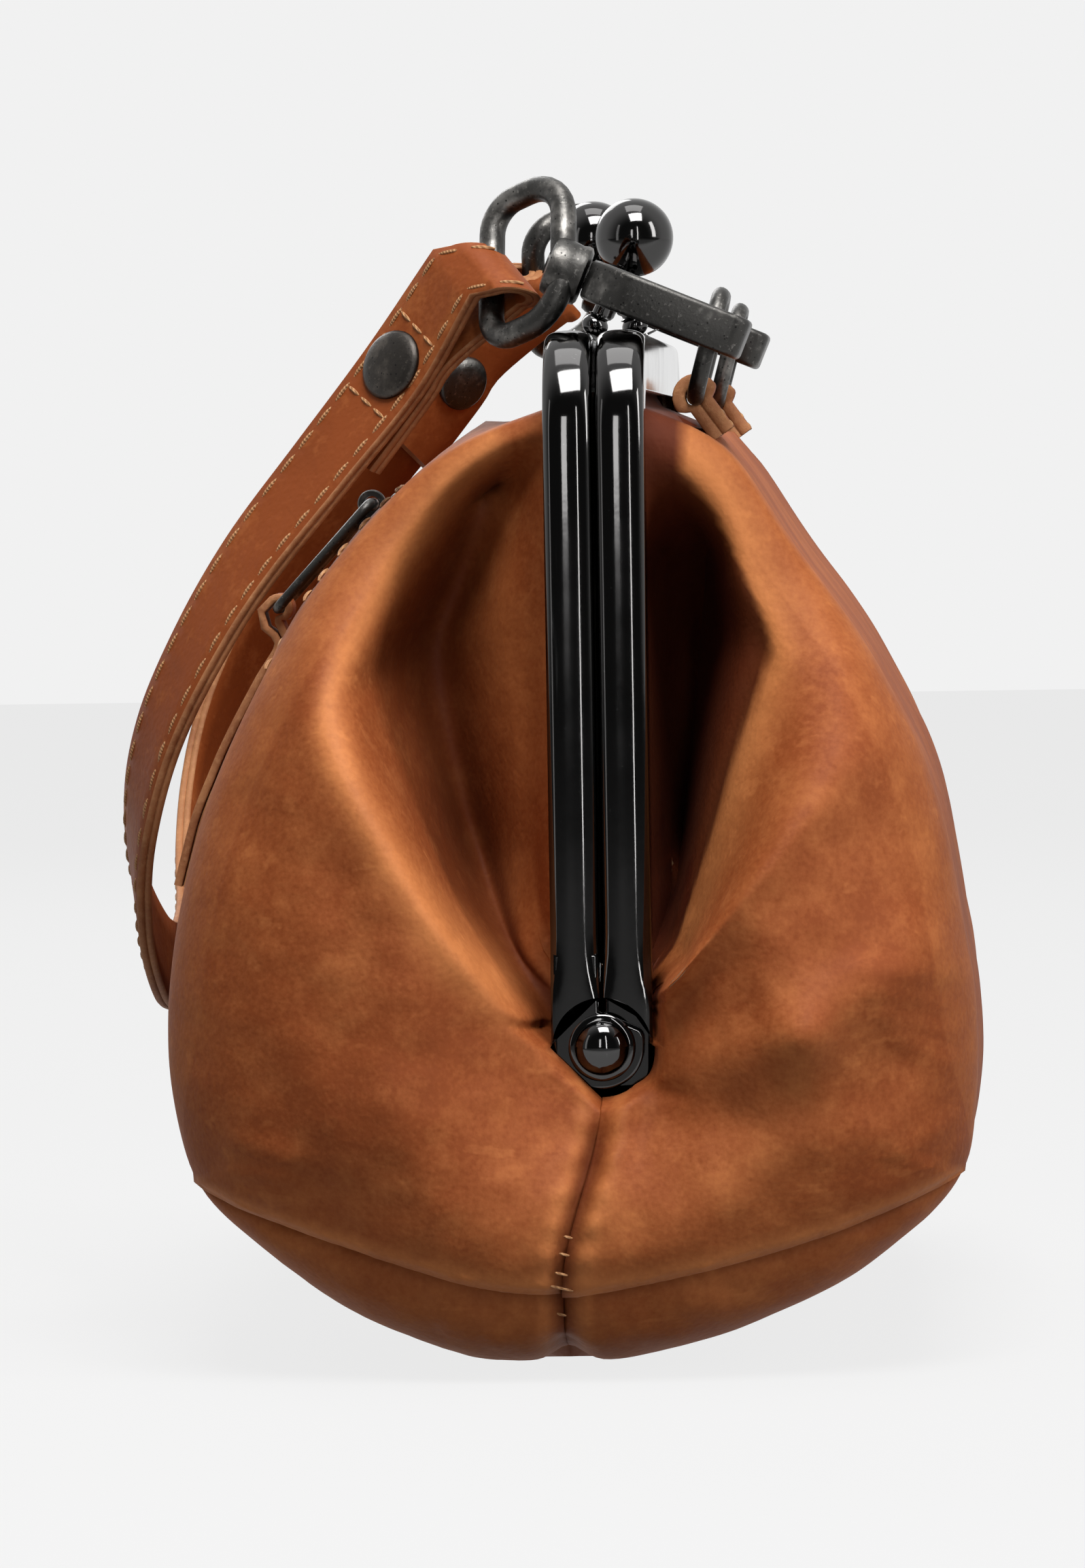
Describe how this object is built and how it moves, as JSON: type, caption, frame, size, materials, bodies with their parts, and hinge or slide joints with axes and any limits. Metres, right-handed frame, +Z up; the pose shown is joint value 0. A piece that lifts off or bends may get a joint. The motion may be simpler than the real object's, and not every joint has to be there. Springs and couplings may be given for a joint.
{
  "type": "frame purse",
  "caption": "Leather frame purse with a ball clasp, front zip pocket and clip-on strap; both halves open about rivets at the ends.",
  "frame": {"origin": "middle of the flat base the purse stands on", "axes": "+X along the frame, -Y out of the zip side, +Z up from the base to the clasp"},
  "size_m": [0.204, 0.1137, 0.155],
  "materials": {
    "tan_leather": "smooth tan leather with a soft sheen",
    "cut_leather": "tan leather with cut, unpainted edges",
    "black_chrome": "polished black chrome",
    "aged_metal": "worn dark antique metal",
    "cotton": "brown woven cotton",
    "paper_cord": "plain twisted paper cord"
  },
  "bodies": {
    "base": {"base_leather": "tan_leather", "lining": "cotton", "hinge_rivet_near": "black_chrome", "hinge_rivet_far": "black_chrome"},
    "front_half": {"front_frame": "black_chrome", "front_clasp": "black_chrome", "front_cord": "paper_cord", "front_leather": "tan_leather", "zip_tape_upper": "cotton", "zip_tape_lower": "cotton", "zip_teeth_upper": "cut_leather", "zip_teeth_lower": "cut_leather", "pocket_bag": "cotton"},
    "rear_half": {"rear_frame": "black_chrome", "rear_clasp": "black_chrome", "rear_cord": "paper_cord", "rear_leather": "tan_leather", "ring_tab_near": "cut_leather", "ring_tab_far": "cut_leather"},
    "slider": {"zip_slider": "aged_metal"},
    "pull": {"zip_pull": "aged_metal"},
    "strip": {"pull_strip": "cut_leather"},
    "strap_unit": {"carry_strap": "cut_leather", "tab_ring_near": "aged_metal", "tab_ring_far": "aged_metal", "hook_body_near": "aged_metal", "hook_body_far": "aged_metal", "gate_pin_near": "aged_metal", "gate_pin_far": "aged_metal", "gate_spring_near": "aged_metal", "gate_spring_far": "aged_metal", "swivel_loop_near": "aged_metal", "swivel_loop_far": "aged_metal", "swivel_post_near": "aged_metal", "swivel_post_far": "aged_metal", "strap_cap_near": "aged_metal", "strap_cap_far": "aged_metal", "strap_back_near": "aged_metal", "strap_back_far": "aged_metal"},
    "gate_near": {"hook_gate_near": "aged_metal"},
    "gate_far": {"hook_gate_far": "aged_metal"}
  },
  "joints": [
    {"name": "front_open", "type": "hinge", "parent": "base", "child": "front_half", "pos_m": [0, 0, 0.042], "axis": [1, 0, 0], "range_deg": [0, 30]},
    {"name": "rear_open", "type": "hinge", "parent": "base", "child": "rear_half", "pos_m": [0, 0, 0.042], "axis": [1, 0, 0], "range_deg": [-30, 0]},
    {"name": "strap_lift", "type": "hinge", "parent": "rear_half", "child": "strap_unit", "pos_m": [0, 0.0126, 0.1252], "axis": [-1, 0, 0], "range_deg": [0, 75]},
    {"name": "zip_slide", "type": "slide", "parent": "front_half", "child": "slider", "axis": [1, 0, 0], "range_m": [-0.054, 0.034]},
    {"name": "pull_swing", "type": "hinge", "parent": "slider", "child": "pull", "pos_m": [0.01, -0.0334, 0.11165], "axis": [-1, 0, 0], "range_deg": [0, 95]},
    {"name": "strip_swing", "type": "hinge", "parent": "pull", "child": "strip", "pos_m": [0.01, -0.04627, 0.09753], "axis": [-1, 0, 0], "range_deg": [0, 80]},
    {"name": "gate_near_open", "type": "hinge", "parent": "strap_unit", "child": "gate_near", "pos_m": [0.0646, 0.00267, 0.13919], "axis": [0, -0.3827, -0.9239], "range_deg": [0, 25], "stiffness_Nm_per_rad": 0.02, "springref_deg": -20.05},
    {"name": "gate_far_open", "type": "hinge", "parent": "strap_unit", "child": "gate_far", "pos_m": [-0.0646, 0.00267, 0.13919], "axis": [0, 0.3827, 0.9239], "range_deg": [0, 25], "stiffness_Nm_per_rad": 0.02, "springref_deg": -20.05}
  ],
  "couplings": [
    {"joint": "rear_open", "follows": "front_open", "ratio": -1},
    {"joint": "strap_lift", "follows": "front_open", "ratio": 2.5}
  ]
}
